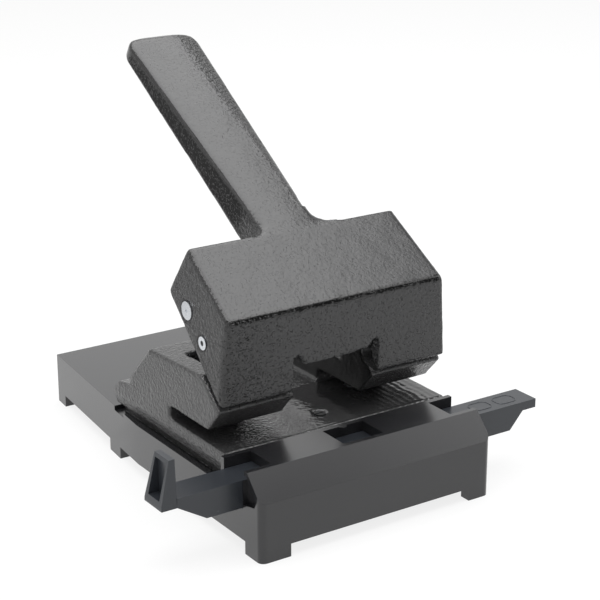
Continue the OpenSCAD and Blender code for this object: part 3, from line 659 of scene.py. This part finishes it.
# Runs the blends at the handle's root into the faces beside them
def softenRoot(piece):
    bm = bmesh.new()
    bm.from_mesh(piece.data)
    some = [v for v in bm.verts if nearRoot(v.co / mm)]
    for _ in range(lever["rootRounds"]):
        bmesh.ops.smooth_vert(bm, verts=some, factor=0.5, use_axis_x=True, use_axis_y=True, use_axis_z=True)
    bm.to_mesh(piece.data)
    bm.free()


# Lumps, the wider right of the head, the falling edge and the pins' seats, all kept below the CAD's top
def leverSkin(p, n):
    move = n * unevenness(p, lever["lumps"])
    u, fall = upHandle(p), rightFall(p)
    if u < lever["topLong"] + lever["growPast"]:
        move += Vector((lever["headGrow"] * smoothStep(*lever["growAt"], p.x), 0, 0))
    if u > lever["fallFrom"] and facesTop(n) > 0:
        move += Vector((0, *outSlope)) * (-lever["fallDeep"] * fall * fall)
    seat = lever["cadHalf"] + (headB.y - p.z) * lever["draft"] - lever["pinSeat"]
    for (y, z), radius in pinEnds:
        if math.hypot(p.y - y, p.z - z) < radius + lever["pinRim"] and abs(p.x) > seat:
            move = Vector((math.copysign(abs(p.x) - seat, -p.x), 0, 0))
    move.z = min(move.z, cadBox[1][2] / mm - p.z)
    return move


def leverCalm(p, n):
    u = upHandle(p)
    top = lever["topCalm"] * smoothStep(*lever["topTurn"], facesTop(n))
    side = lever["sideCalm"] * smoothStep(*lever["sideCalmAt"], u) if n.x < lever["sideFacing"] else 0.0
    front = lever["frontCalm"] * smoothStep(*lever["frontTurn"], -n.y) * smoothStep(*lever["frontAt"], p.x)
    fall = min(1.0, rightFall(p) * lever["fallRough"]) if u > lever["fallFrom"] else 0.0
    return max(top, side, front) * (1 - fall)


# Painted shade on the lever: a darker colour on the handle's left side, along its falling right edge, the
# ridge and the top's left edge
def leverPaintedShade(p, n):
    u = upHandle(p)
    side = smoothStep(*lever["sideShadeAt"], u) * smoothStep(*lever["sideShadeTurn"], n.x)
    band = lever["bandShade"] * smoothStep(*lever["bandAt"], rightFall(p)) if u > lever["fallFrom"] else 0.0
    ridge = smoothStep(*lever["ridgeAt"], math.hypot(p.y - headB.x, p.z - headB.y))
    half = lever["cadHalf"] + (headB.y - p.z) * lever["draft"]
    edge = smoothStep(*lever["edgeAt"], half + p.x) * smoothStep(*lever["edgeTurn"], facesTop(n))
    return max(side, band, ridge, edge if 0 < u < lever["topLong"] + lever["edgePast"] else 0.0)


def buildLever():
    head = cutAway(cutAway(headSolid(), headHollow()), tongueOpening())
    parts = [head, handleSolid(), rootFillet(-1, lever["filletLeft"]), rootFillet(1, lever["filletRight"])]
    whole = castRemesh(joinPieces("leverCasting", parts), lever["voxel"], lever["softenRounds"])
    softenRoot(whole)
    setShare(whole, "calmShare", leverCalm)
    setShare(whole, "paintedShadeShare", leverPaintedShade)
    pushVertices(whole, leverSkin)
    return setMaterial(whole, castLever)


leverCasting = buildLever()
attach(leverCasting, "lever")
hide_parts("lever")
print("lever made:", len(leverCasting.data.polygons), "faces")


# Frame: bed, arms and lugs as one casting
frameSizes = {
    # Lengths in mm, At and Turn pairs as for the lever
    "voxel": 0.95, "softenRounds": 3, "lumps": ((0.5, 0.04, (0, 0, 0)), (0.08, 0.12, (0, 0, 0))),
    # Bed: ripples to the right, one dent at the front, and slow waves
    "throatBack": -28.2, "bedFlat": 0.8, "bedNear": 1.0, "bedSunk": 0.08,
    "waveTurn": 1.7, "waveHigh": 0.075, "waveAt": (12, 34), "waveBend": 2.5, "bendRate": 0.1,
    "dentPlace": (-18.4, -75.6), "dentSize": (2.2, 0.9), "dentDeep": 0.5,
    "slowRate": (0.11, 0.16, 4.0), "slowHigh": 0.07,
    # Flanks below the bed, which draw in
    "flankHalf": 60, "flankDown": 2, "underAt": (37.5, 30.5), "underIn": 1.6,
    # Smooth enamel on the bed and inside the throat, painted shade inside it and on the arms' upper rims
    "bedRough": 0.6, "bedRoughAt": (-2, -22), "innerWall": 25.0, "innerShare": 0.9, "innerTurn": (0.4, 0.8),
    "rimLow": 12.0, "rimUp": 0.2, "rimShade": 0.85, "rimTurn": (0.3, 0.5), "rimOffTurn": (0.97, 0.85)}


def onBed(p, n):
    level = n.z > frameSizes["bedFlat"] and abs(p.z - bedZ) < frameSizes["bedNear"]
    return level and p.y < frameSizes["throatBack"]


def bedLift(p):
    bend = frameSizes["waveBend"] * noise.noise(p * frameSizes["bendRate"])
    wave = math.sin(p.x * frameSizes["waveTurn"] + bend) * smoothStep(*frameSizes["waveAt"], p.x)
    (x, y), (wide, deep) = frameSizes["dentPlace"], frameSizes["dentSize"]
    dent = math.exp(-(((p.x - x) / wide) ** 2 + ((p.y - y) / deep) ** 2)) * frameSizes["dentDeep"]
    rateX, rateY, start = frameSizes["slowRate"]
    slow = noise.noise(Vector((p.x * rateX, p.y * rateY, start))) * frameSizes["slowHigh"]
    return wave * frameSizes["waveHigh"] + slow - dent - frameSizes["bedSunk"]


def frameSkin(p, n):
    move = Vector((0, 0, bedLift(p))) if onBed(p, n) else n * unevenness(p, frameSizes["lumps"])
    if p.z < bedZ - frameSizes["flankDown"] and abs(p.x) > frameSizes["flankHalf"]:
        under = smoothStep(*frameSizes["underAt"], p.z)
        move += Vector((-math.copysign(frameSizes["underIn"] * under, p.x), 0, 0))
    return move


def innerShare(p, n):
    inside = abs(p.x) < frameSizes["innerWall"]
    return frameSizes["innerShare"] * smoothStep(*frameSizes["innerTurn"], abs(n.x)) if inside else 0.0


def frameCalm(p, n):
    bed = 1.0 - frameSizes["bedRough"] * smoothStep(*frameSizes["bedRoughAt"], p.x) if onBed(p, n) else 0.0
    return max(bed, innerShare(p, n))


# Painted shade on the frame: a darker colour inside the throat and along the arms' upper rims
def framePaintedShade(p, n):
    turn = smoothStep(*frameSizes["rimTurn"], abs(n.x)) * smoothStep(*frameSizes["rimOffTurn"], abs(n.x))
    upper = n.z > frameSizes["rimUp"] and p.z > bedZ + frameSizes["rimLow"]
    return max(innerShare(p, n), frameSizes["rimShade"] * turn if upper else 0.0)


def buildFrame():
    casting = nodeCopy("frame", "frameCasting", None)
    castRemesh(casting, frameSizes["voxel"], frameSizes["softenRounds"])
    setShare(casting, "calmShare", frameCalm)
    setShare(casting, "paintedShadeShare", framePaintedShade)
    pushVertices(casting, frameSkin)
    return setMaterial(casting, castFrame)


frameCasting = buildFrame()
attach(frameCasting, "base")
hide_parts("frame")
print("frame made:", len(frameCasting.data.polygons), "faces")


# Tray, gauge and chip cover: crisp mouldings with small edge radii
trayCorner = {"radius": 3.4, "segments": 5, "near": 0.05}
edges = {"tray": 0.85, "gauge": 0.5, "cover": 0.5}      # radii in mm


# Radius for the tray's two upright front corners
def frontCorner(a, b):
    upright = abs(a.x - b.x) < 0.01 and abs(a.y - b.y) < 0.01
    away = max(abs(abs(a.x) + trayLow.x), abs(a.y - trayLow.y))
    return trayCorner["radius"] if upright and away < trayCorner["near"] else 0.0


def moulding(node, name, body, material, edge, rounder=None):
    piece = nodeCopy(node, name)
    if rounder:
        bevelEdges(piece, rounder, trayCorner["radius"], trayCorner["segments"])
        tidyMesh(piece, cadMerge)
    softBevel(piece, edge)
    setMaterial(piece, material)
    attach(piece, body)
    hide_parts(node)
    print(name, "made:", len(piece.data.polygons), "faces")


moulding("base_tray", "trayShell", "base", trayPlastic, edges["tray"], frontCorner)
moulding("gauge_bar", "gaugeSlider", "gauge", gaugePlastic, edges["gauge"])
moulding("chip_cover", "chipCoverPlate", "cover", coverPlastic, edges["cover"])


# Geometry nodes: every tree ends by realizing its instances and setting its finish
def finishNodes(tree, geometry, given):
    real = addNode(tree, "GeometryNodeRealizeInstances", {0: geometry})
    values = {"Geometry": real.outputs[0], "Material": given["Finish"]}
    paint = addNode(tree, "GeometryNodeSetMaterial", values)
    addNode(tree, "NodeGroupOutput", {"Geometry": paint.outputs[0]})
    return tree


# A round wire swept along a curve
def sweepNode(tree, curve, radius, around, caps):
    ring = addNode(tree, "GeometryNodeCurvePrimitiveCircle", {"Resolution": around, "Radius": radius})
    values = {"Fill Caps": caps, "Curve": curve, "Profile Curve": ring.outputs[0]}
    return addNode(tree, "GeometryNodeCurveToMesh", values).outputs[0]


def nodesPiece(name, tree, values):
    piece = newObject(name, bpy.data.meshes.new(name))
    mod = piece.modifiers.new("build", "NODES")
    mod.node_group = tree
    for item in tree.interface.items_tree:
        if item.item_type == "SOCKET" and item.in_out == "INPUT" and item.name in values:
            mod[item.identifier] = values[item.name]
    return bake(piece)


# Return springs: a wire close at both ends, which the punch's travel squeezes; the coil is built at one fixed
# length
punchY = -40.2
spring = {"turns": 6.0, "coilRadius": 5.4, "wire": 1.6, "low": 60.8, "endPitch": 2.2, "midPitch": 4.76,
          "pitch": 80.0, "perTurn": 28, "around": 12, "smooth": 60,
          "keep": 0.59, "anchor": 0.060}      # share of the length kept at full stroke; foot in metres


def springTree():
    inputs = {"Turns": ("Float", spring["turns"]), "Coil Radius": ("Float", spring["coilRadius"] * mm),
              "Wire Radius": ("Float", spring["wire"] / 2 * mm),
              "End Pitch": ("Float", spring["endPitch"] * mm),
              "Middle Pitch": ("Float", spring["midPitch"] * mm), "Finish": ("Material", None)}
    tree, given = newGroup("springWire", "GeometryNodeTree", inputs, {"Geometry": "Geometry"})
    spiral = addNode(tree, "GeometryNodeCurveSpiral",
                     {"Resolution": spring["perTurn"], "Height": 0.0, "Rotations": given["Turns"],
                      "Start Radius": given["Coil Radius"], "End Radius": given["Coil Radius"]})
    along = tree.nodes.new("GeometryNodeSplineParameter").outputs["Factor"]
    turn = mathNode(tree, "MULTIPLY", along, given["Turns"])
    lastTurn = mathNode(tree, "SUBTRACT", given["Turns"], 1.0)
    first = mathNode(tree, "MINIMUM", turn, 1.0)
    last = mathNode(tree, "MAXIMUM", mathNode(tree, "SUBTRACT", turn, lastTurn), 0.0)
    both = mathNode(tree, "ADD", first, last)
    ends = mathNode(tree, "MULTIPLY", both, given["End Pitch"])
    middle = mathNode(tree, "MULTIPLY", mathNode(tree, "SUBTRACT", turn, both), given["Middle Pitch"])
    lift = addNode(tree, "ShaderNodeCombineXYZ", {"Z": mathNode(tree, "ADD", ends, middle)})
    values = {"Geometry": spiral.outputs[0], "Offset": lift.outputs[0]}
    move = addNode(tree, "GeometryNodeSetPosition", values)
    wire = sweepNode(tree, move.outputs[0], given["Wire Radius"], spring["around"], True)
    return finishNodes(tree, wire, given)


def buildSpring(side, tree):
    coil = nodesPiece("returnSpring" + side.title(), tree, {"Finish": springSteel})
    x = (-1 if side == "left" else 1) * spring["pitch"] / 2
    coil.data.transform(Matrix.Translation(Vector((x, punchY, spring["low"])) * mm))
    shadeSmooth(coil, spring["smooth"])
    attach(coil, "base")
    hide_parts("spring_" + side)
    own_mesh(coil)


# Raised rounded outlines near the gauge's right end
marks = {"count": 2, "spacing": 15.5, "long": 11.5, "wide": 8.5, "corner": 3.0, "line": 0.22,
         "at": (78.0, -90.1, 36.0), "cornerSteps": 8, "around": 8, "smooth": 60}


def marksTree():
    inputs = {"Count": ("Int", marks["count"]), "Spacing": ("Float", marks["spacing"] * mm),
              "Line Radius": ("Float", marks["line"] * mm), "Finish": ("Material", None)}
    tree, given = newGroup("gaugeMarks", "GeometryNodeTree", inputs, {"Geometry": "Geometry"})
    values = {"Width": marks["long"] * mm, "Height": marks["wide"] * mm}
    outline = addNode(tree, "GeometryNodeCurvePrimitiveQuadrilateral", values)
    values = {"Count": marks["cornerSteps"], "Radius": marks["corner"] * mm, "Curve": outline.outputs[0]}
    bend = addNode(tree, "GeometryNodeFilletCurve", values, mode="POLY")
    line = sweepNode(tree, bend.outputs[0], given["Line Radius"], marks["around"], False)
    step = addNode(tree, "ShaderNodeCombineXYZ", {"X": given["Spacing"]})
    row = addNode(tree, "GeometryNodeMeshLine", {"Count": given["Count"], "Offset": step.outputs[0]})
    spread = addNode(tree, "GeometryNodeInstanceOnPoints", {"Points": row.outputs[0], "Instance": line})
    return finishNodes(tree, spread.outputs[0], given)


def buildMarks():
    outline = nodesPiece("gaugeMarks", marksTree(), {"Finish": gaugePlastic})
    outline.data.transform(Matrix.Translation(Vector(marks["at"]) * mm))
    shadeSmooth(outline, marks["smooth"])
    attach(outline, "gauge")


wireTree = springTree()
for side in sides:
    buildSpring(side, wireTree)
buildMarks()
print("springs and marks made")


# Finishes of the nodes that are carried over as they are: single ones, then those with a left and a right
finishes = {"base_screws": zinc, "base_washers": zinc, "front_screw": blackened, "pivot_pin": zinc,
            "pusher_shaft": zinc, "shaft_clips": springSteel, "gauge_spring": springSteel}
pairFinishes = {"die": machined, "guide_bush": machined, "pivot_bush": bronze, "punch": machined,
                "collar": zinc, "cross_pin": machined}
finishes.update({f"{node}_{side}": material for node, material in pairFinishes.items() for side in sides})
for node, material in finishes.items():
    for slot in nodes[node].material_slots:
        slot.material = material
print("finishes set:", len(finishes), "nodes")


# Studio, in metres: floor and world, a screen, two cloths, four lamps and the photo's camera
studio = {"floorHalf": 6, "floorGrey": 0.86, "floorWhite": 0.82, "worldSoft": 0.55, "worldSeen": 1.0,
          "screenY": -1.7, "screenHalf": 2.6, "screenLow": 0.02, "screenHigh": 2.2, "screenGrey": 0.02,
          "screenRough": 0.9, "clothGlow": 0.16}
cloths = {
    "floorCloth": {"x": (-0.75, -0.15), "y": (0.235, 0.95), "z": 0.0006},     # darkens the handle's left side
    "sideCloth": {"x": (0.86, 1.7), "y": (-0.35, 0.9), "z": 1.22}}            # darkens its falling right edge
lamps = {
    "topBox": {"place": (0.095, 0.1, 1.25), "target": (0.095, 0.1, 0), "size": (1.51, 1.5), "power": 22.5},
    "leftBox": {"place": (-1.3, 0.2, 0.6), "target": (0, 0, 0.08), "size": (0.9, 0.9), "power": 2.5},
    "rightBox": {"place": (1.2, -0.5, 0.8), "target": (0, 0, 0.08), "size": (0.8, 0.8), "power": 2.5},
    "frontBox": {"place": (-0.75, -1.1, 0.75), "target": (0, 0, 0.07), "size": (0.7, 0.7), "power": 1.6}}
view = {"place": (-0.4322, -0.6916, 0.3634), "down": 19.098, "turn": -33.785, "sensor": 36.0, "lens": 102.0,
        "clip": (0.05, 20)}


def sheet(name, corners):
    return newObject(name, meshFrom(name, corners, [(0, 1, 2, 3)], 1.0))


def levelSheet(name, x, y, z):
    return sheet(name, [(x[0], y[0], z), (x[1], y[0], z), (x[1], y[1], z), (x[0], y[1], z)])


# Gives 1 for the named kinds of rays and 0 for all others
def raysOf(tree, *kinds):
    path = tree.nodes.new("ShaderNodeLightPath").outputs
    rays = path[kinds[0]]
    for kind in kinds[1:]:
        rays = mathNode(tree, "MAXIMUM", rays, path[kind])
    return rays


def mixShader(tree, factor, a, b):
    return addNode(tree, "ShaderNodeMixShader", {"Fac": factor, 1: a.outputs[0], 2: b.outputs[0]}).outputs[0]


# The floor takes shadows, and nearly fades to white where the camera or a reflection sees it
def buildFloor():
    half = studio["floorHalf"]
    floor = levelSheet("floor", (-half, half), (-half, half), 0)
    material = bpy.data.materials.new("paleFloor")
    tree = freshTree(material)
    matte = addNode(tree, "ShaderNodeBsdfDiffuse", {"Color": (studio["floorGrey"],) * 3})
    glow = addNode(tree, "ShaderNodeEmission", {"Color": (1, 1, 1)})
    share = mathNode(tree, "MULTIPLY", raysOf(tree, "Is Camera Ray", "Is Glossy Ray"), studio["floorWhite"])
    addNode(tree, "ShaderNodeOutputMaterial", {"Surface": mixShader(tree, share, matte, glow)})
    setMaterial(floor, material)


def buildWorld():
    world = bpy.data.worlds.new("studio")
    scene.world = world
    tree = freshTree(world)
    soft, plain = (addNode(tree, "ShaderNodeBackground", {"Color": (1, 1, 1), "Strength": studio[key]})
                   for key in ("worldSoft", "worldSeen"))
    seen = raysOf(tree, "Is Camera Ray", "Is Glossy Ray", "Is Transmission Ray")
    addNode(tree, "ShaderNodeOutputWorld", {"Surface": mixShader(tree, seen, soft, plain)})


# Finishes a sheet that only reflections see
def reflectedSheet(piece, materialName, values):
    material = bpy.data.materials.new(materialName)
    material.use_nodes = True
    feedAll(material.node_tree, material.node_tree.nodes["Principled BSDF"], values)
    setMaterial(piece, material)
    piece.visible_camera = piece.visible_diffuse = piece.visible_shadow = piece.visible_transmission = False
    return piece


# A black screen behind the camera, which the glossy enamel reflects as the dark side of the studio
def darkScreen():
    y, wide, low, high = (studio[key] for key in ("screenY", "screenHalf", "screenLow", "screenHigh"))
    screen = sheet("darkScreen", [(-wide, y, low), (wide, y, low), (wide, y, high), (-wide, y, high)])
    black = {"Base Color": (studio["screenGrey"],) * 3, "Roughness": studio["screenRough"]}
    reflectedSheet(screen, "blackCloth", black)


# A level grey cloth that darkens what reflects it
def greyCloth(name, x, y, z):
    glow = {"Base Color": (0, 0, 0), "Emission Color": (1, 1, 1), "Emission Strength": studio["clothGlow"]}
    cloth = reflectedSheet(levelSheet(name, x, y, z), name, glow)


def areaLamp(name, place, target, size, power):
    lamp = bpy.data.lights.new(name, "AREA")
    lamp.shape, lamp.size, lamp.size_y, lamp.energy = "RECTANGLE", *size, power
    holder = newObject(name, lamp)
    holder.location = place
    holder.rotation_euler = (Vector(target) - Vector(place)).to_track_quat("-Z", "Y").to_euler()


def buildCamera():
    lens = bpy.data.cameras.new("photoView")
    lens.sensor_width, lens.lens = view["sensor"], view["lens"]
    lens.clip_start, lens.clip_end = view["clip"]
    holder = newObject("photoView", lens)
    holder.location = view["place"]
    holder.rotation_euler = (math.radians(90 - view["down"]), 0, math.radians(view["turn"]))
    scene.camera = holder


buildFloor()
buildWorld()
darkScreen()
for name, cloth in cloths.items():
    greyCloth(name, **cloth)
for name, lamp in lamps.items():
    areaLamp(name, **lamp)
buildCamera()
scene.view_settings.view_transform = "Standard"
print("stage made")
